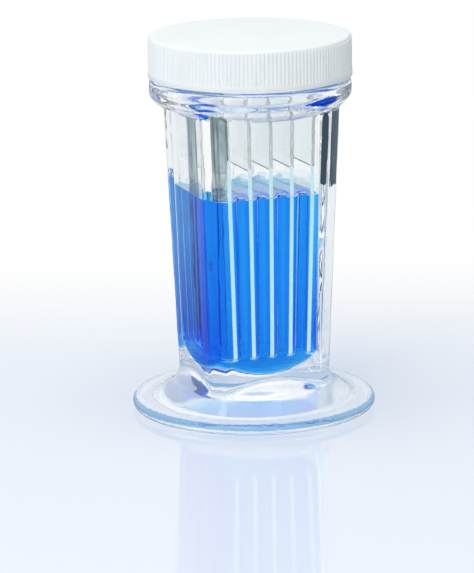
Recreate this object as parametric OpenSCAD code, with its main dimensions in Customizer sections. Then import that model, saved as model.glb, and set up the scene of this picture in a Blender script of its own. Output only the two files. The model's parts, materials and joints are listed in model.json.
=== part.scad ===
// Slide staining jar: a pressed-glass jar on a round foot, closed by a moulded
// screw cap with a liner, holding stain and five microscope slides.
// Frame: +Z up, origin at the middle of the ring that the foot stands on.
// The two ribbed walls of the chamber face -Y and +Y.

/* [Foot] */
// Radius of the foot
foot_r = 31; // [28:0.5:36]
// Radius of the round bead along the foot's edge
bead_r = 1.7; // [1.2:0.1:2]
// Width of the rim, from the foot's edge to the crease at its slope
rim_w = 4.8; // [4:0.1:6]
// Height at which the foot's sloping top meets the column
foot_h = 7; // [6:0.25:9]
// Slope of the foot's top, in degrees
foot_slope = 32; // [24:1:36]
// Width of the plinth that stands out round the column, and of the lip on top
plinth_w = 0.3; // [0.2:0.1:0.8]
// Height of the plinth's edge and of the lip's edge
plinth_h = 0.5; // [0.3:0.1:1]
// Inner radius of the ring that the foot stands on
ring_in_r = 24; // [20:0.5:25]
// Depth of the hollow under the foot
punt_depth = 1.4; // [0.6:0.1:2.5]

/* [Column] */
// Radius of the column at its foot
column_low_r = 20; // [19.6:0.1:21]
// Radius of the column under the collar
column_top_r = 23.5; // [22.8:0.1:24]
// Distance from the axis to each flat, at the foot
flat_low = 15.9; // [15.4:0.1:17]
// Distance from the axis to each flat, under the collar
flat_top = 18.5; // [17.6:0.1:19.2]

/* [Collar and neck] */
// Height at which the column ends and the collar starts
column_h = 79.6; // [75:0.5:84]
// Slope of the collar's underside, in degrees
collar_slope = 20; // [12:1:30]
// Radius of the collar
collar_r = 25.5; // [25.2:0.1:26]
// Thickness of the collar's rim, between its underside and its top
collar_rim = 4.9; // [4.2:0.1:6]
// Radius that rounds the collar's rim at its top
collar_edge = 1.3; // [0.6:0.1:1.5]
// Radius that rounds the collar's rim at its underside
collar_under_edge = 2.4; // [1.6:0.1:2.6]
// Outer radius of the neck, at the root of its thread
neck_r = 22.6; // [22.2:0.1:23]
// Height of the neck above the collar
neck_h = 8; // [6:0.5:11]
// Thickness of the neck's wall
neck_wall = 2.6; // [2:0.1:3]
// Bevel on both edges of the neck's rim
rim_bevel = 0.5; // [0.2:0.1:0.8]

/* [Chamber] */
// Play of a slide across the square chamber, where the slides rest
chamber_play = 0.1; // [0.06:0.02:0.4]
// How much wider the square chamber is at its top
chamber_spread = 1.7; // [1:0.1:2.4]
// Radius of the chamber's upright corners
chamber_corner = 2; // [1:0.25:4]
// Height of the lowest point of the chamber's round floor
floor_z = 9; // [7:0.5:11]
// Radius of the round floor
floor_r = 24; // [22:0.5:30]
// Height at which the slides rest and the ribs start
slot_low_z = 15.6; // [14.5:0.1:17]
// Height at which the ribs end
slot_top_z = 63; // [55:0.5:70]
// Number of slots on each ribbed wall
slots = 5; // [3:1:5]
// Distance from the chamber's plain walls to the middle of the outer slots
slot_margin = 2.75; // [2.4:0.05:3.5]
// Lean of each slot away from the one inside it, in degrees
slot_slope = 0.8; // [0:0.1:1]
// Width of a slot at its root
slot_w = 1.7; // [1.5:0.1:2.4]
// Depth of the ribs between the slots
rib_depth = 2.2; // [1.4:0.1:3]
// Radius of the ribs' crests
rib_crest = 0.9; // [0.5:0.1:1.1]
// Depth of the ledge at the foot of each ribbed wall, on which the slides stand
rest_depth = 1.6; // [1:0.1:2.4]

/* [Screw cap] */
// Room for the thread between the neck and the cap's skirt
thread_room = 1.5; // [1.2:0.1:2]
// Height of the cap
cap_h = 10.2; // [9.6:0.1:12]
// Thickness of the cap's top
cap_top = 1.6; // [1.2:0.1:2.4]
// Thickness of the cap's skirt behind the knurl
skirt_wall = 1.2; // [0.9:0.1:1.4]
// Number of ridges in the knurl
knurl_count = 156; // [60:2:180]
// Depth of the knurl
knurl_depth = 0.3; // [0.1:0.05:0.5]
// Height of the plain band at the skirt's edge
band_h = 1.4; // [0.8:0.1:2.5]
// Radius of the cap's upper edge
cap_edge = 0.7; // [0.3:0.1:1]
// Thickness of the liner
liner_h = 1.2; // [0.8:0.1:2]

/* [Slides and stain] */
// Width of a slide
slide_w = 25; // [24:0.1:25]
// Length of a slide
slide_l = 75; // [60:1:76]
// Thickness of a slide
slide_t = 1; // [0.8:0.05:1.2]
// Clipped corner of a slide
slide_clip = 0.8; // [0.2:0.1:1.5]
// Height of the stain's surface
stain_z = 57; // [30:1:60]

/* [Hidden] */
$fn = 96;

// Thin gaps: stain and slides to the glass under them, and liner to cap
film = 0.05;
liner_play = 0.2;
// Overlap of shapes that are joined or cut
lap = 1;

// Heights that follow from the sizes above
collar_under_z = column_h + (collar_r - column_top_r) * tan(collar_slope);
collar_top_z = collar_under_z + collar_rim;
rim_z = collar_top_z + neck_h;
cap_ceiling_z = rim_z + liner_h;
cap_top_z = cap_ceiling_z + cap_top;
skirt_z = cap_top_z - cap_h;
mouth_r = neck_r - neck_wall;

// Radii of the cap, which is made to fit the neck
cap_bore_r = neck_r + thread_room;
cap_r = cap_bore_r + skirt_wall + knurl_depth;
band_r = cap_r + 0.1;

// Width of the chamber where the slides rest, and the pitch of the slots there
chamber_low_w = slide_w + chamber_play;
slot_pitch = (chamber_low_w - 2 * slot_margin) / (slots - 1);

// Slopes of the drafted surfaces
chamber_draft = chamber_spread / 2 / (column_h - slot_low_z);
flat_draft = (flat_top - flat_low) / (column_h - foot_h);

// Height of the foot's sloping top and of the collar's underside at radius r
function foot_z(r) = foot_h + (column_low_r - r) * tan(foot_slope);
function under_z(r) = column_h - (column_top_r - r) * tan(collar_slope);
// Half width of the chamber and distance of the flats at height z
function chamber_half(z) = chamber_low_w / 2 + (z - slot_low_z) * chamber_draft;
function flat_at(z) = flat_low + (z - foot_h) * flat_draft;
// Place across the chamber of slot number i, counted from 0, and its lean
function slot_x(i) = (i - (slots - 1) / 2) * slot_pitch;
function slot_lean(i) = (i - (slots - 1) / 2) * slot_slope;

// Points along an arc, from one angle to another
function arc(x, z, r, from, to, steps = 8) = [
    for (i = [0 : steps])
        let (a = from + (to - from) * i / steps) [x + r * cos(a), z + r * sin(a)]
];

// Foot: rim with its round edge, sloping top, and the plinth whose cone meets
// the flats
module foot() {
    crease_r = foot_r - rim_w;
    plinth_r = column_low_r + plinth_w;
    rotate_extrude()
        polygon(concat(
            [[0, 0]],
            arc(foot_r - bead_r, bead_r, bead_r, -90, 95, 14),
            [[crease_r, foot_z(crease_r)]],
            [[plinth_r, foot_z(plinth_r)], [plinth_r, foot_z(plinth_r) + plinth_h]],
            [[0, foot_z(0) + plinth_h]]
        ));
}

// Round column with a drafted flat on each of its four sides
module column() {
    low_z = foot_h - lap;
    high_z = column_h + lap;
    growth = (column_top_r - column_low_r) / (column_h - foot_h);
    intersection() {
        translate([0, 0, low_z])
            cylinder(
                r1 = column_low_r - lap * growth,
                r2 = column_top_r + lap * growth,
                h = high_z - low_z
            );
        for_both_ways() flat_pair(low_z - lap, high_z + lap);
    }
}

// The same shape along X and along Y, where the two overlap
module for_both_ways() {
    intersection() {
        children();
        rotate([0, 0, 90]) children();
    }
}

// Wedge between two opposite flats, from height low_z to height high_z
module flat_pair(low_z, high_z) {
    rotate([90, 0, 0])
        linear_extrude(height = 2 * foot_r, center = true)
            polygon([
                [-flat_at(low_z), low_z],
                [flat_at(low_z), low_z],
                [flat_at(high_z), high_z],
                [-flat_at(high_z), high_z]
            ]);
}

// Collar with its rounded rim, and the neck that takes the cap
module collar_and_neck() {
    lip_r = column_top_r + plinth_w;
    under_x = collar_r - collar_under_edge;
    rim_x = collar_r - collar_edge;
    rim_low_z = under_z(under_x) + collar_under_edge / cos(collar_slope);
    rotate_extrude()
        polygon(concat(
            [[0, under_z(0) - plinth_h]],
            [[lip_r, under_z(lip_r) - plinth_h], [lip_r, under_z(lip_r)]],
            arc(under_x, rim_low_z, collar_under_edge, collar_slope - 90, 0),
            arc(rim_x, collar_top_z - collar_edge, collar_edge, 0, 90),
            [[neck_r, collar_top_z], [neck_r, rim_z - rim_bevel]],
            [[neck_r - rim_bevel, rim_z], [0, rim_z]]
        ));
}

// Drafted square chamber with round corners and a round floor, drawn in by gap
module chamber(gap = 0) {
    low_z = floor_z - lap;
    high_z = column_h + lap;
    intersection() {
        hull() {
            chamber_slice(low_z, gap);
            chamber_slice(high_z, gap);
        }
        union() {
            translate([0, 0, floor_z + floor_r]) sphere(r = floor_r - gap);
            translate([0, 0, floor_z + floor_r])
                cylinder(r = floor_r - gap, h = high_z);
        }
    }
}

// Thin level slice of the chamber at height z
module chamber_slice(z, gap) {
    half = chamber_half(z) - gap - chamber_corner;
    for (x = [-half, half], y = [-half, half])
        translate([x, y, z]) cylinder(r = chamber_corner, h = 0.01, $fn = 32);
}

// Section of one rib: flanks that lean in from the wall to a round crest
module rib_2d(gap) {
    base = (slot_pitch - slot_w) / 2 + gap;
    crest = rib_crest + gap;
    crest_y = rib_depth - rib_crest;
    flank = atan2(crest_y, base) - 90 + acos(crest / norm([base, crest_y]));
    polygon([
        [-base, -lap],
        [base, -lap],
        [base, 0],
        for (a = [-flank : (180 + 2 * flank) / 10 : 181 + flank])
            [crest * cos(a), crest_y + crest * sin(a)],
        [-base, 0]
    ]);
}

// Ribs of both walls: they follow the walls' draft and end in slopes
module ribs(gap = 0) {
    rise = slot_top_z - slot_low_z;
    for (side = [0, 180], i = [0 : slots - 2])
        rotate([0, 0, side])
            translate([slot_x(i + 0.5), -chamber_half(slot_low_z), slot_low_z])
                rotate([atan(chamber_draft), slot_lean(i + 0.5), 0])
                    intersection() {
                        linear_extrude(height = rise + 2 * gap) rib_2d(gap);
                        rotate([90, 0, 90])
                            linear_extrude(height = slot_pitch, center = true)
                                polygon([
                                    [-lap, 0],
                                    [0, 0],
                                    [rib_depth + gap, rib_depth / 2 - gap],
                                    [rib_depth + gap, rise - rib_depth + gap],
                                    [0, rise + gap],
                                    [-lap, rise + gap]
                                ]);
                    }
}

// Ledges at the foot of both ribbed walls; the slides stand on them
module rests(gap = 0) {
    low = floor_z - slot_low_z;
    top = gap - film;
    for (side = [0, 180])
        rotate([0, 0, side])
            translate([0, -chamber_half(slot_low_z), slot_low_z])
                rotate([90, 0, 90])
                    linear_extrude(height = chamber_low_w + 2 * lap, center = true)
                        polygon([
                            [-lap, low],
                            [rest_depth + gap - low * tan(10), low],
                            [rest_depth + gap, top],
                            [-lap, top]
                        ]);
}

// Round mouth with its bevels, from the top of the chamber to the rim
module mouth() {
    cone_z = column_h - 1.5;
    translate([0, 0, cone_z]) {
        cylinder(r1 = mouth_r - 4, r2 = mouth_r, h = 4);
        translate([0, 0, 4]) cylinder(r = mouth_r, h = rim_z);
    }
    translate([0, 0, rim_z - rim_bevel])
        cylinder(r1 = mouth_r, r2 = mouth_r + rim_bevel + lap, h = rim_bevel + lap);
}

module jar() {
    color([0.86, 0.93, 0.95, 0.45])
    union() {
        difference() {
            union() {
                foot();
                column();
                collar_and_neck();
            }
            chamber();
            mouth();
            translate([0, 0, -lap])
                cylinder(r1 = ring_in_r + lap, r2 = ring_in_r - punt_depth, h = punt_depth + lap);
        }
        ribs();
        rests();
    }
}

// Outline of the knurl: ridges with flat crests and sloping flanks
module knurl_2d() {
    step = 360 / knurl_count;
    root_r = cap_r - knurl_depth;
    polygon([
        for (i = [0 : knurl_count - 1], corner = [0 : 3])
            let (
                r = corner == 0 || corner == 3 ? root_r : cap_r,
                a = (i + [0.1, 0.3, 0.7, 0.9][corner]) * step
            )
            [r * cos(a), r * sin(a)]
    ]);
}

// Half section of the cap's plain shell: top with a round edge, skirt and band
module cap_shell_2d() {
    shell_r = cap_r - knurl_depth;
    difference() {
        union() {
            translate([0, skirt_z]) square([shell_r, cap_h - cap_edge]);
            translate([0, skirt_z]) square([shell_r - cap_edge, cap_h]);
            translate([shell_r - cap_edge, cap_top_z - cap_edge]) circle(r = cap_edge);
            translate([0, skirt_z]) square([band_r, band_h]);
        }
        translate([0, skirt_z - lap])
            square([cap_bore_r, cap_ceiling_z - skirt_z + lap]);
    }
}

module screw_cap() {
    color([0.95, 0.96, 0.95]) {
        rotate_extrude() cap_shell_2d();
        difference() {
            translate([0, 0, skirt_z + band_h / 2])
                linear_extrude(height = cap_h - band_h / 2 - cap_edge) knurl_2d();
            translate([0, 0, skirt_z - lap])
                cylinder(r = cap_bore_r + skirt_wall / 2, h = cap_h + 2 * lap);
        }
    }
}

module cap_liner() {
    color([0.9, 0.9, 0.86])
        translate([0, 0, rim_z]) cylinder(r = cap_bore_r - liner_play, h = liner_h);
}

// Microscope slide number i, standing in its slots, grown by gap
module slide(i, gap = 0) {
    half = slide_w / 2 + gap;
    clip = slide_clip;
    low = -gap;
    high = slide_l + gap;
    translate([slot_x(i), 0, slot_low_z])
        rotate([0, slot_lean(i), 0])
            rotate([90, 0, 90])
                linear_extrude(height = slide_t + 2 * gap, center = true)
                    polygon([
                        [-half + clip, low],
                        [half - clip, low],
                        [half, low + clip],
                        [half, high - clip],
                        [half - clip, high],
                        [-half + clip, high],
                        [-half, high - clip],
                        [-half, low + clip]
                    ]);
}

// Stain: fills the chamber round the ribs and slides up to its surface
module stain() {
    color([0.05, 0.3, 0.95, 0.8])
    difference() {
        chamber(film);
        translate([-foot_r, -foot_r, stain_z]) cube([2 * foot_r, 2 * foot_r, rim_z]);
        ribs(film);
        rests(film);
        for (i = [0 : slots - 1]) slide(i, film);
    }
}

module glass_slide(i) {
    color([0.8, 0.9, 0.88, 0.6]) if (i < slots) slide(i);
}

jar();
screw_cap();
cap_liner();
stain();
glass_slide(0);  // slide_1
glass_slide(1);  // slide_2
glass_slide(2);  // slide_3
glass_slide(3);  // slide_4
glass_slide(4);  // slide_5
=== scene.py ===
"""Slide staining jar: a pressed-glass jar on a round foot, with a screw cap,
five slides and blue stain. Everything is in metres, in the frame of the model."""

import json
import math

import bmesh
import bpy
from mathutils import Matrix, Vector

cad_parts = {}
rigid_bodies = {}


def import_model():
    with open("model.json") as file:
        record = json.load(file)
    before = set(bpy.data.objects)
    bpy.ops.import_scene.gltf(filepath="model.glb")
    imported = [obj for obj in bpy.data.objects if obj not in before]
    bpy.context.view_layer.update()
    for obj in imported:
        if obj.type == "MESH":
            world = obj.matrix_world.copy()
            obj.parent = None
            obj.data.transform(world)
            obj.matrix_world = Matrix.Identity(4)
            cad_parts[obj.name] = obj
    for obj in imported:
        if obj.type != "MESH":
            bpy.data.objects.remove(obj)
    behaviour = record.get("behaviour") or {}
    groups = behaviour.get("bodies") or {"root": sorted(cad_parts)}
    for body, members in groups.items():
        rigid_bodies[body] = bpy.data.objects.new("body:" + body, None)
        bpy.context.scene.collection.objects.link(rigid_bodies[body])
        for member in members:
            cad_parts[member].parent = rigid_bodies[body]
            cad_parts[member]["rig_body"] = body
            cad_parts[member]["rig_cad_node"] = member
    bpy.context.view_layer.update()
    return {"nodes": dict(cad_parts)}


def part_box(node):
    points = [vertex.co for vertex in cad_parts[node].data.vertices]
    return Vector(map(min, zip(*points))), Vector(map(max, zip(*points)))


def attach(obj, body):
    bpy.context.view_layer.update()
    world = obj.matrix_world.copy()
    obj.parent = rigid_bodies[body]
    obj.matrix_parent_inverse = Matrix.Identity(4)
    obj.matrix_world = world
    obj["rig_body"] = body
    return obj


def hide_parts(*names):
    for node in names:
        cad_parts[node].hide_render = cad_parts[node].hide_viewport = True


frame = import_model()

MM = 0.001
SLIDES = ["slide_1", "slide_2", "slide_3", "slide_4", "slide_5"]

scene = bpy.context.scene
scene.view_settings.view_transform = "Standard"
# Thick glass, liquid and five slides: light crosses many faces in a row
scene.cycles.max_bounces = 40
scene.cycles.transmission_bounces = 40
scene.cycles.glossy_bounces = 8
scene.cycles.transparent_max_bounces = 48

# Places read from the solids
neck_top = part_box("jar")[1].z
stain_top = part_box("stain")[1].z
liner_low, liner_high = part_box("cap_liner")
frost_line = stain_top + 7.2 * MM

# Thread of the neck and the cap: one turn lifts the cap by the pitch
thread_pitch = 4.23 * MM
thread_start = neck_top - 6.9 * MM
RIDGE_HEIGHT = 1.3 * MM
RIDGE_ROUNDING = 0.25 * MM
STEPS_A_TURN = 90
neck_r = 22.6 * MM
bore_r = 24.1 * MM

# Points of the mesh that lie closer than this are one point
SAME_POINT = 0.002 * MM

# Colours that come up more than once
WHITE = (1, 1, 1, 1)
# Painted shade for what is seen through many faces of the glass
LOST_LIGHT = (0.04, 0.08, 0.12, 1)


# Camera: to the left of the front, looking down on the jar


def make_camera():
    bpy.ops.object.camera_add(location=(-0.30575, -0.84005, 0.2517))
    camera = bpy.context.object
    camera.name = "camera"
    camera.data.sensor_fit = "VERTICAL"
    camera.data.sensor_height = 36
    camera.data.lens = 227.2
    camera.data.clip_start = 0.01
    camera.data.clip_end = 20
    turn = Matrix.Rotation(math.radians(-19.745), 3, "Z")
    tilt = Matrix.Rotation(math.radians(76.13), 3, "X")
    roll = Matrix.Rotation(math.radians(-0.745), 3, "Z")
    camera.rotation_euler = (turn @ tilt @ roll).to_euler()
    scene.camera = camera


make_camera()


# Tools for materials: each adds a node to a tree and returns its output


def plug(tree, socket, value):
    """A socket takes a link from another socket, or a plain value."""
    if isinstance(value, bpy.types.NodeSocket):
        tree.links.new(value, socket)
    else:
        socket.default_value = value


def reckon(tree, operation, *values, clamp=False):
    node = tree.nodes.new("ShaderNodeMath")
    node.operation = operation
    node.use_clamp = clamp
    for socket, value in zip(node.inputs, values):
        plug(tree, socket, value)
    return node.outputs[0]


def span(tree, value, low, high, to_low=0.0, to_high=1.0, easing="LINEAR"):
    node = tree.nodes.new("ShaderNodeMapRange")
    node.interpolation_type = easing
    node.inputs["From Min"].default_value = low
    node.inputs["From Max"].default_value = high
    node.inputs["To Min"].default_value = to_low
    node.inputs["To Max"].default_value = to_high
    tree.links.new(value, node.inputs["Value"])
    return node.outputs["Result"]


def shades(tree, value, first, last, *between, start=0.0, end=1.0):
    """A ramp from the first colour to the last, with (place, colour) between."""
    node = tree.nodes.new("ShaderNodeValToRGB")
    stops = node.color_ramp.elements
    stops[0].position, stops[0].color = start, first
    stops[1].position, stops[1].color = end, last
    for place, colour in between:
        stops.new(place).color = colour
    tree.links.new(value, node.inputs["Fac"])
    return node.outputs["Color"]


def blend_colours(tree, share, one, other):
    node = tree.nodes.new("ShaderNodeMix")
    node.data_type = "RGBA"
    tree.links.new(share, node.inputs[0])
    plug(tree, node.inputs[6], one)
    plug(tree, node.inputs[7], other)
    return node.outputs[2]


def blend_shaders(tree, share, one, other):
    node = tree.nodes.new("ShaderNodeMixShader")
    for socket, value in zip(node.inputs, (share, one, other)):
        tree.links.new(value, socket)
    return node.outputs[0]


def clear_shader(tree, colour=WHITE):
    node = tree.nodes.new("ShaderNodeBsdfTransparent")
    plug(tree, node.inputs["Color"], colour)
    return node.outputs[0]


def object_place(tree):
    return tree.nodes.new("ShaderNodeTexCoord").outputs["Object"]


def along(tree, axis, vector=None):
    """One coordinate of a vector, or of the place on the piece."""
    if vector is None:
        vector = object_place(tree)
    node = tree.nodes.new("ShaderNodeSeparateXYZ")
    tree.links.new(vector, node.inputs["Vector"])
    return node.outputs[axis]


def noise(tree, scale, detail=2.0, distortion=0.0, vector=None):
    if vector is None:
        vector = object_place(tree)
    node = tree.nodes.new("ShaderNodeTexNoise")
    node.inputs["Scale"].default_value = scale
    node.inputs["Detail"].default_value = detail
    node.inputs["Distortion"].default_value = distortion
    tree.links.new(vector, node.inputs["Vector"])
    return node.outputs["Fac"]


def rough_up(tree, shader, height, strength, distance):
    node = tree.nodes.new("ShaderNodeBump")
    node.inputs["Strength"].default_value = strength
    node.inputs["Distance"].default_value = distance
    tree.links.new(height, node.inputs["Height"])
    tree.links.new(node.outputs["Normal"], shader.inputs["Normal"])


def ray_facts(tree):
    return tree.nodes.new("ShaderNodeLightPath").outputs


def lamp_light(tree, ray):
    """Rays from a lamp, and soft bounced light."""
    return reckon(tree, "MAXIMUM", ray["Is Shadow Ray"], ray["Is Diffuse Ray"])


def mirror_image(tree, ray):
    """Rays that glass reflects, without those that it refracts."""
    return reckon(
        tree, "SUBTRACT", ray["Is Glossy Ray"], ray["Is Transmission Ray"], clamp=True
    )


def set_surface(tree, shader):
    tree.links.new(shader, tree.nodes["Material Output"].inputs["Surface"])


def new_material(name, roughness):
    material = bpy.data.materials.new(name)
    material.use_nodes = True
    tree = material.node_tree
    shader = tree.nodes["Principled BSDF"]
    shader.inputs["Roughness"].default_value = roughness
    return material, tree, shader


def let_light_through(tree, shader, tint=WHITE):
    """Lamps and soft bounced light pass straight through the glass."""
    through = lamp_light(tree, ray_facts(tree))
    clear = clear_shader(tree, tint)
    set_surface(tree, blend_shaders(tree, through, shader.outputs[0], clear))


# Materials


def glass(name, ior, colour, roughness=0.0, ripple=0.0, gloss=0.5, clearness=1.0):
    material, tree, shader = new_material(name, roughness)
    shader.inputs["Specular IOR Level"].default_value = gloss
    shader.inputs["Base Color"].default_value = colour
    shader.inputs["IOR"].default_value = ior
    shader.inputs["Transmission Weight"].default_value = clearness
    if ripple:
        # Pressed glass is never quite even
        rough_up(tree, shader, noise(tree, 160, detail=1), 1, ripple)
    let_light_through(tree, shader)
    return material


GLASS_IOR = 1.52
# Where glass meets the stain, light bends less than where it meets air
WET_WALL_IOR = 1.08
WET_SLIDE_IOR = 1.14

jar_glass = glass(
    "jar_glass", GLASS_IOR, (0.978, 0.995, 1.0, 1), ripple=0.04 * MM, gloss=0.3
)
wet_glass = glass("wet_glass", WET_WALL_IOR, WHITE)
wet_side = glass("wet_side", WET_WALL_IOR, WHITE)
# The underside of the foot is a little rough, and hazy in a ring
foot_glass = glass(
    "foot_glass", GLASS_IOR, (0.94, 0.97, 0.985, 1), roughness=0.06, clearness=0.9
)
ground_ring = glass(
    "ground_ring", GLASS_IOR, (0.97, 0.99, 0.985, 1), roughness=0.12, clearness=0.45
)
# A blue band on the foot's rim stands for the stain's reflection in it
rim_glass = glass("rim_glass", GLASS_IOR, (0.14, 0.38, 0.66, 1))
slide_glass = glass("slide_glass", GLASS_IOR, (0.985, 1.0, 0.995, 1), gloss=0.2)
wet_slide = glass("wet_slide", WET_SLIDE_IOR, WHITE)


def paint_slide_refraction(material):
    """Painted light: a blue tint on the slides' wet faces that stands in for what they
    refract, strongest in a band that runs up them a little in front of the middle."""
    tree = material.node_tree
    half_width = 12.5 * MM
    tint = shades(
        tree,
        span(tree, along(tree, "Y"), -half_width, half_width),
        (0.74, 0.87, 0.98, 1),
        (0.90, 0.97, 0.99, 1),
        (0.34, (0.42, 0.66, 0.94, 1)),
        (0.62, (0.93, 0.98, 1.0, 1)),
    )
    plug(tree, tree.nodes["Principled BSDF"].inputs["Base Color"], tint)


paint_slide_refraction(wet_slide)


def deepen_downwards(material, low, high):
    """Painted shade: a blue tint on the glass that the stain wets, deeper towards the
    bottom.
    """
    tree = material.node_tree
    deepest, palest = 12 * MM, 48 * MM
    height = span(tree, along(tree, "Z"), deepest, palest)
    tint = shades(tree, height, low, high)
    plug(tree, tree.nodes["Principled BSDF"].inputs["Base Color"], tint)


# Painted shade: the wetted glass is tinted a deeper blue towards the bottom
deepen_downwards(wet_glass, (0.72, 0.87, 0.98, 1), WHITE)
# Painted shade: the wetted side walls are tinted a deeper blue
deepen_downwards(wet_side, (0.04, 0.26, 0.95, 1), (0.25, 0.74, 1.0, 1))


def make_painted_streaks():
    """Painted shade: streaks that stand for what the thick glass refracts. Those on
    the left are grey. The one on the right is dark where the wall is seen at a low
    angle, and clear where it is looked at straight on."""
    material = glass("painted_streak_glass", GLASS_IOR, (0.968, 0.99, 0.996, 1), gloss=0.3)
    tree = material.node_tree
    plain = tree.nodes["Material Output"].inputs["Surface"].links[0].from_socket

    lines = tree.nodes.new("ShaderNodeMapping")
    lines.inputs["Scale"].default_value = (1400, 1400, 60)
    tree.links.new(object_place(tree), lines.inputs["Vector"])
    grey = shades(
        tree,
        noise(tree, 1, detail=5, distortion=0.5, vector=lines.outputs["Vector"]),
        (0.15, 0.20, 0.22, 1),
        (0.66, 0.76, 0.78, 1),
        start=0.36,
        end=0.64,
    )
    on_right = reckon(tree, "GREATER_THAN", along(tree, "X"), 0.0)
    weight = tree.nodes.new("ShaderNodeLayerWeight")
    weight.inputs["Blend"].default_value = 0.5
    low_angle = weight.outputs["Facing"]
    dark = reckon(tree, "MULTIPLY", span(tree, low_angle, 0.4, 0.65), on_right)
    # The veil's grey and near-black colours are painted shade
    veil = clear_shader(tree, blend_colours(tree, dark, grey, (0.04, 0.07, 0.10, 1)))

    # Seen at first hand only, not again in the slides
    ray = ray_facts(tree)
    far = reckon(tree, "GREATER_THAN", ray["Ray Depth"], 2.5)
    unseen = reckon(tree, "MAXIMUM", lamp_light(tree, ray), far)
    seen = reckon(tree, "SUBTRACT", 1.0, unseen)
    # and only where the painted faces are seen from inside the glass
    behind = tree.nodes.new("ShaderNodeNewGeometry").outputs["Backfacing"]
    through = reckon(tree, "MULTIPLY", seen, behind)
    on_left = reckon(tree, "SUBTRACT", 1.0, on_right)
    aslant = reckon(tree, "MAXIMUM", span(tree, low_angle, 0.15, 0.4), on_left)
    amount = reckon(tree, "MULTIPLY", through, aslant)
    set_surface(tree, blend_shaders(tree, amount, plain, veil))
    return material


painted_streak_glass = make_painted_streaks()


def make_ground_edge():
    """The slides' ground edges, pale and matt."""
    material, tree, shader = new_material("ground_edge", 0.7)
    tone = shades(
        tree, noise(tree, 900, detail=3), (0.60, 0.95, 0.99, 1), (0.80, 1.0, 1.0, 1)
    )
    plug(tree, shader.inputs["Base Color"], tone)
    return material


ground_edge = make_ground_edge()


def make_frosted():
    """The slides' frosted ends, for writing on with a pencil. Painted shade: they are
    a little darker towards the clear glass."""
    material, tree, shader = new_material("frosted_end", 0.2)
    palest = frost_line + 17 * MM
    height = span(tree, along(tree, "Z"), frost_line, palest)
    tone = shades(tree, height, (0.965, 0.995, 0.99, 1), (0.995, 1.0, 1.0, 1))
    plug(tree, shader.inputs["Base Color"], tone)
    shader.inputs["IOR"].default_value = 1.2
    shader.inputs["Specular IOR Level"].default_value = 0.0
    shader.inputs["Transmission Weight"].default_value = 0.94
    rough_up(tree, shader, noise(tree, 1400, detail=4), 0.4, 0.03 * MM)
    let_light_through(tree, shader, (0.985, 0.997, 0.995, 1))
    return material


frosted_end = make_frosted()


def make_cap_plastic():
    material, tree, shader = new_material("cap_plastic", 0.38)
    tone = shades(
        tree, noise(tree, 60, detail=3), (0.79, 0.82, 0.81, 1), (0.845, 0.87, 0.86, 1)
    )
    plug(tree, shader.inputs["Base Color"], tone)
    rough_up(tree, shader, noise(tree, 2600), 0.25, 0.02 * MM)
    return material


cap_plastic = make_cap_plastic()


def make_foam():
    material, tree, shader = new_material("liner_foam", 0.75)
    cells = tree.nodes.new("ShaderNodeTexVoronoi")
    cells.inputs["Scale"].default_value = 1800
    tree.links.new(object_place(tree), cells.inputs["Vector"])
    depth = cells.outputs["Distance"]
    # Painted shade: the foam is darker in the pits of its cells
    tone = shades(tree, depth, (0.70, 0.71, 0.70, 1), (0.84, 0.85, 0.84, 1))
    plug(tree, shader.inputs["Base Color"], tone)
    rough_up(tree, shader, depth, 0.5, 0.05 * MM)
    return material


liner_foam = make_foam()


def make_stain():
    """Blue stain: clear at its sides, where the glass does the bending,
    and a still surface on top."""
    material, tree, shader = new_material("blue_stain", 0.0)
    shader.inputs["Base Color"].default_value = (0.62, 0.96, 1.0, 1)
    shader.inputs["IOR"].default_value = 1.333
    shader.inputs["Transmission Weight"].default_value = 0.6
    below_edge = stain_top - 1.2 * MM
    near_top = reckon(tree, "GREATER_THAN", along(tree, "Z"), below_edge)
    normal = tree.nodes.new("ShaderNodeNewGeometry").outputs["True Normal"]
    upright = reckon(tree, "ABSOLUTE", along(tree, "Z", normal))
    level = reckon(tree, "GREATER_THAN", upright, 0.3)
    surface = reckon(tree, "MULTIPLY", near_top, level)
    lit = lamp_light(tree, ray_facts(tree))
    kept = reckon(tree, "SUBTRACT", surface, lit, clamp=True)
    set_surface(tree, blend_shaders(tree, kept, clear_shader(tree), shader.outputs[0]))
    absorb = tree.nodes.new("ShaderNodeVolumeAbsorption")
    absorb.inputs["Color"].default_value = (0.0, 0.75, 0.99, 1)
    absorb.inputs["Density"].default_value = 205
    tree.links.new(absorb.outputs[0], tree.nodes["Material Output"].inputs["Volume"])
    return material


blue_stain = make_stain()


# Tools for modelling


def start():
    if bpy.context.object and bpy.context.object.mode != "OBJECT":
        bpy.ops.object.mode_set(mode="OBJECT")
    bpy.ops.object.select_all(action="DESELECT")


def work_on(piece):
    start()
    piece.select_set(True)
    bpy.context.view_layer.objects.active = piece


def edit(piece, mode="VERT"):
    work_on(piece)
    bpy.ops.object.mode_set(mode="EDIT")
    bpy.ops.mesh.select_mode(type=mode)


def done():
    bpy.ops.object.mode_set(mode="OBJECT")


def edit_faces(piece, wanted):
    """Opens the piece with only the wanted faces selected."""
    edit(piece, "FACE")
    bpy.ops.mesh.select_all(action="DESELECT")
    mesh = bmesh.from_edit_mesh(piece.data)
    for face in mesh.faces:
        face.select_set(wanted(face))
    bmesh.update_edit_mesh(piece.data)


def copy_of(node, name):
    """A new piece with the shape of one of the solids, as one closed skin."""
    start()
    piece = frame["nodes"][node].copy()
    piece.data = piece.data.copy()
    piece.parent = None
    piece.name = name
    piece.data.name = name
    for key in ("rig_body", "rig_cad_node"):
        if key in piece:
            del piece[key]
    scene.collection.objects.link(piece)
    piece.data.materials.clear()
    edit(piece)
    bpy.ops.mesh.select_all(action="SELECT")
    bpy.ops.mesh.remove_doubles(threshold=SAME_POINT)
    done()
    return piece


def finish_modifiers(piece):
    work_on(piece)
    for modifier in list(piece.modifiers):
        bpy.ops.object.modifier_apply(modifier=modifier.name)


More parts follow.
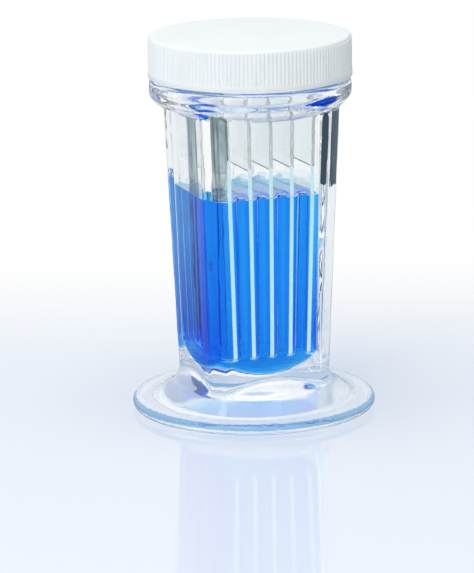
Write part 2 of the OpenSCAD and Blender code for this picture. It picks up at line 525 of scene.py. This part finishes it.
def soften_edges(piece, width, angle):
    """A narrow rounding on every edge sharper than the angle."""
    bevel = piece.modifiers.new("soft_edges", "BEVEL")
    bevel.width = width
    bevel.segments = 2
    bevel.limit_method = "ANGLE"
    bevel.angle_limit = math.radians(angle)
    finish_modifiers(piece)


def cut_across(piece, height):
    """A ring of edges round the piece at this height."""
    edit(piece)
    bpy.ops.mesh.select_all(action="SELECT")
    bpy.ops.mesh.bisect(plane_co=(0, 0, height), plane_no=(0, 0, 1))
    done()


def smooth(piece, angle=None):
    work_on(piece)
    if angle is None:
        bpy.ops.object.shade_smooth()
    else:
        bpy.ops.object.shade_smooth_by_angle(angle=math.radians(angle))


def add_thread(piece, inner, outer, height, turns):
    """A helical ridge, joined to the piece that carries it."""
    start()
    bpy.ops.mesh.primitive_plane_add(
        size=1,
        location=((inner + outer) / 2, 0, height),
        rotation=(math.radians(90), 0, 0),
    )
    ridge = bpy.context.object
    bpy.ops.object.mode_set(mode="EDIT")
    bpy.ops.transform.resize(value=(outer - inner, 1, RIDGE_HEIGHT))
    bpy.ops.mesh.bevel(offset=RIDGE_ROUNDING, segments=2, affect="VERTICES")
    done()
    bpy.ops.object.transform_apply(location=True, rotation=True, scale=True)
    helix = ridge.modifiers.new("helix", "SCREW")
    helix.axis = "Z"
    helix.angle = 2 * math.pi * turns
    helix.screw_offset = thread_pitch * turns
    helix.steps = helix.render_steps = round(STEPS_A_TURN * turns)
    finish_modifiers(ridge)
    edit(ridge)
    bpy.ops.mesh.select_all(action="SELECT")
    bpy.ops.mesh.remove_doubles(threshold=SAME_POINT)
    bpy.ops.mesh.fill_holes(sides=16)
    bpy.ops.mesh.normals_make_consistent(inside=False)
    done()
    start()
    ridge.select_set(True)
    piece.select_set(True)
    bpy.context.view_layer.objects.active = piece
    bpy.ops.object.join()


def wear(piece, finishes, finish_of=None):
    """Gives the piece its finishes, each face the one that finish_of picks."""
    piece.data.materials.clear()
    for material in finishes:
        piece.data.materials.append(material)
    if finish_of:
        for face in piece.data.polygons:
            picked = finish_of(face.center, face.normal)
            face.material_index = finishes.index(picked)


# Jar: the pressed glass has soft edges everywhere

JAR_FINISHES = [
    jar_glass,
    wet_glass,
    foot_glass,
    # painted shade: streaks that stand for what the glass refracts
    painted_streak_glass,
    wet_side,
    ground_ring,
    rim_glass,
]

# Limits that tell the chamber's wall from the outside of the jar
CHAMBER_BOTTOM = 8 * MM
CHAMBER_HALF = 14.6 * MM
CHAMBER_CORNER = 18.9 * MM
# The chamber's side walls lie farther out than this
SIDE_WALL = 12.2 * MM
# Height at which the painted streaks end
STREAKS_TOP = 80 * MM
# The foot: the band on its rim, and the hazy ring in its underside
RIM_RADIUS = 30.2 * MM
RIM_LOW, RIM_HIGH = 1.6 * MM, 3.6 * MM
UNDERSIDE = 2.4 * MM
RING_INNER, RING_OUTER = 13 * MM, 24.5 * MM


def in_chamber_square(place):
    return max(abs(place.x), abs(place.y)) < CHAMBER_HALF


def in_chamber(place):
    """On the wall or the floor of the chamber, below the stain's surface."""
    return (
        CHAMBER_BOTTOM < place.z < stain_top
        and in_chamber_square(place)
        and math.hypot(place.x, place.y) < CHAMBER_CORNER
    )


def in_streaks(place):
    """Where the painted streaks of shade go: two bands by the front left corner, one
    wide band by the back right, which also lies on the outer flat behind it."""
    if not stain_top < place.z < STREAKS_TOP:
        return False
    if place.x > 17 * MM:
        return 0.5 * MM < place.y < 7 * MM
    return in_chamber_square(place) and (
        (place.x < -12.8 * MM and -7.0 * MM < place.y < 0.4 * MM)
        or (place.x < -11.6 * MM and place.y < -10.5 * MM)
        or (place.x > 12.5 * MM and place.y > -1 * MM)
    )


def jar_finish(place, normal):
    from_axis = math.hypot(place.x, place.y)
    if in_chamber(place):
        on_side = abs(place.x) > SIDE_WALL and abs(normal.x) > 0.8
        return wet_side if on_side else wet_glass
    if RIM_LOW < place.z < RIM_HIGH and from_axis > RIM_RADIUS:
        return rim_glass
    if place.z < UNDERSIDE and normal.z < -0.5:
        return ground_ring if RING_INNER < from_axis < RING_OUTER else foot_glass
    return painted_streak_glass if in_streaks(place) else jar_glass


def shorten_ribs(jar):
    """The ribs between the slides run out into the wall just above the stain."""
    middle = stain_top + 3.7 * MM
    width, depth, height = 25.9 * MM, 26.14 * MM, 6.6 * MM
    start()
    bpy.ops.mesh.primitive_cube_add(size=1, location=(0, 0, middle))
    cutter = bpy.context.object
    bpy.ops.object.mode_set(mode="EDIT")
    bpy.ops.transform.resize(value=(width, depth, height))
    done()
    trim = jar.modifiers.new("short_ribs", "BOOLEAN")
    trim.operation = "DIFFERENCE"
    trim.solver = "EXACT"
    trim.object = cutter
    finish_modifiers(jar)
    bpy.data.objects.remove(cutter)


def make_jar():
    jar = copy_of("jar", "pressed_jar")
    shorten_ribs(jar)
    add_thread(
        jar,
        inner=neck_r - 0.6 * MM,
        outer=neck_r + 1.0 * MM,
        height=thread_start,
        turns=1.4,
    )
    remesh = jar.modifiers.new("soft_edges", "REMESH")
    remesh.mode = "VOXEL"
    remesh.voxel_size = 0.6 * MM
    remesh.use_smooth_shade = True
    even = jar.modifiers.new("even", "SMOOTH")
    even.factor = 0.5
    even.iterations = 2
    finish_modifiers(jar)
    cut_across(jar, stain_top)
    smooth(jar)
    wear(jar, JAR_FINISHES, jar_finish)
    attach(jar, "jar_body")
    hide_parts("jar")


make_jar()


# Stain


def make_liquid():
    liquid = copy_of("stain", "stain_pool")

    def on_top(face):
        height = face.calc_center_median().z
        return face.normal.z > 0.9 and height > stain_top - 0.1 * MM

    # The surface dips a little inside its edge, where it meets the glass
    edit_faces(liquid, on_top)
    bpy.ops.mesh.inset(thickness=0.14 * MM, depth=-0.06 * MM)
    bpy.ops.mesh.inset(thickness=0.14 * MM, depth=-0.16 * MM)
    done()
    wear(liquid, [blue_stain])
    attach(liquid, "jar_body")
    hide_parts("stain")


make_liquid()


# Slides: ground edges, and a frosted end to write on

SLIDE_FINISHES = [slide_glass, wet_slide, ground_edge, frosted_end]


def slide_finish(place, normal):
    broad = abs(normal.x) > 0.9
    if place.z > frost_line or (not broad and normal.y > 0.5):
        return frosted_end
    if not broad:
        return ground_edge
    return wet_slide if place.z < stain_top else slide_glass


def make_slide(node):
    slide = copy_of(node, node.replace("slide", "glass_slide"))
    cut_across(slide, stain_top)
    cut_across(slide, frost_line)
    wear(slide, SLIDE_FINISHES, slide_finish)
    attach(slide, "jar_body")
    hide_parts(node)


for name in SLIDES:
    make_slide(name)


# Cap and its liner


def make_cap():
    cap = copy_of("screw_cap", "white_cap")
    soften_edges(cap, width=0.12 * MM, angle=28)
    # Half a pitch above the thread of the neck
    add_thread(
        cap,
        inner=bore_r - 0.95 * MM,
        outer=bore_r + 0.5 * MM,
        height=thread_start + thread_pitch / 2,
        turns=0.9,
    )
    wear(cap, [cap_plastic])
    smooth(cap, angle=40)
    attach(cap, "cap")
    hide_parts("screw_cap")


make_cap()


def make_liner():
    start()
    radius = (liner_high.x - liner_low.x) / 2
    bpy.ops.mesh.primitive_cylinder_add(
        vertices=120,
        radius=radius,
        depth=liner_high.z - liner_low.z,
        location=(0, 0, (liner_low.z + liner_high.z) / 2),
    )
    liner = bpy.context.object
    liner.name = "foam_liner"
    bpy.ops.object.transform_apply(location=True)
    # The rim of the neck has pressed a ring into the foam
    edit_faces(liner, lambda face: face.normal.z < -0.9)
    bpy.ops.mesh.inset(thickness=max(radius - neck_r - 0.2 * MM, 0.3 * MM))
    bpy.ops.mesh.inset(thickness=0.3 * MM, depth=-0.18 * MM)
    bpy.ops.mesh.inset(thickness=2.2 * MM)
    bpy.ops.mesh.inset(thickness=0.4 * MM, depth=0.18 * MM)
    done()
    soften_edges(liner, width=0.1 * MM, angle=50)
    wear(liner, [liner_foam])
    smooth(liner, angle=40)
    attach(liner, "liner")
    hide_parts("cap_liner")


make_liner()


# Stage


def make_floor():
    start()
    bpy.ops.mesh.primitive_plane_add(size=6, location=(0, 0, 0))
    floor = bpy.context.object
    floor.name = "floor"
    material, tree, shader = new_material("floor", 0.06)
    shader.inputs["IOR"].default_value = 1.25

    # The sweep of the floor brightens to white behind the jar
    sweep = math.radians(20)
    place = object_place(tree)
    east = reckon(tree, "MULTIPLY", along(tree, "X", place), math.sin(sweep))
    back = reckon(
        tree, "MULTIPLY_ADD", along(tree, "Y", place), math.cos(sweep), east
    )
    fade_start, fade_end = 20 * MM, 170 * MM
    fade = span(tree, back, fade_start, fade_end, easing="SMOOTHSTEP")
    swept = blend_shaders(tree, fade, shader.outputs[0], clear_shader(tree))
    set_surface(tree, swept)

    # Painted shade: the floor is painted darker for rays that have crossed many faces
    # of the glass, standing for the light lost in it
    ray = ray_facts(tree)
    way = span(tree, ray["Ray Depth"], 12, 24)
    tone = blend_colours(tree, way, (0.79, 0.815, 0.88, 1), LOST_LIGHT)
    # Painted reflection: the floor's mirror image on the outside of the glass is
    # painted darker
    first = reckon(tree, "LESS_THAN", ray["Ray Depth"], 1.5)
    painted_dark_mirror = reckon(tree, "MULTIPLY", mirror_image(tree, ray), first)
    tone = blend_colours(tree, painted_dark_mirror, tone, (0.05, 0.07, 0.11, 1))
    plug(tree, shader.inputs["Base Color"], tone)
    floor.data.materials.append(material)


make_floor()


def make_world():
    world = bpy.data.worlds.new("studio")
    scene.world = world
    world.use_nodes = True
    tree = world.node_tree
    place = tree.nodes.new("ShaderNodeTexCoord").outputs["Generated"]

    # The room is brighter on the left
    room = tree.nodes["Background"]
    room.inputs["Color"].default_value = (0.8, 0.85, 0.88, 1)
    across = along(tree, "X", place)
    strength = span(tree, across, -0.9, 0.9, to_low=0.9, to_high=0.46)
    plug(tree, room.inputs["Strength"], strength)

    # Seen straight or through the glass it is white. Mirror images on the
    # glass are white from above and dimmer near the table
    ray = ray_facts(tree)
    height = span(tree, along(tree, "Z", place), -0.1, 0.35)
    image = shades(tree, height, (0.42, 0.47, 0.54, 1), WHITE)
    plain = blend_colours(tree, mirror_image(tree, ray), WHITE, image)
    # Painted shade: the backdrop is painted darker for rays that have crossed many
    # faces of the glass, standing for the light lost in it
    way = span(tree, ray["Ray Depth"], 17, 30)
    seen = tree.nodes.new("ShaderNodeBackground")
    seen.inputs["Strength"].default_value = 1
    plug(tree, seen.inputs["Color"], blend_colours(tree, way, plain, LOST_LIGHT))

    straight = reckon(tree, "MAXIMUM", ray["Is Camera Ray"], ray["Is Glossy Ray"])
    looking = reckon(tree, "MAXIMUM", straight, ray["Is Transmission Ray"])
    both = blend_shaders(tree, looking, room.outputs[0], seen.outputs[0])
    plug(tree, tree.nodes["World Output"].inputs["Surface"], both)


make_world()


def make_lamp(name, place, size, power):
    """A square soft lamp, aimed half-way up the jar."""
    bpy.ops.object.light_add(type="AREA", location=place)
    lamp = bpy.context.object
    lamp.name = name
    lamp.data.shape = "RECTANGLE"
    lamp.data.size = lamp.data.size_y = size
    lamp.data.energy = power
    direction = Vector((0, 0, 0.05)) - Vector(place)
    lamp.rotation_euler = direction.to_track_quat("-Z", "Y").to_euler()


start()
make_lamp("key_left", (-0.75, -0.85, 0.85), size=0.8, power=5.6)
make_lamp("softbox_above", (-0.1, -0.1, 1.2), size=1.0, power=6.2)
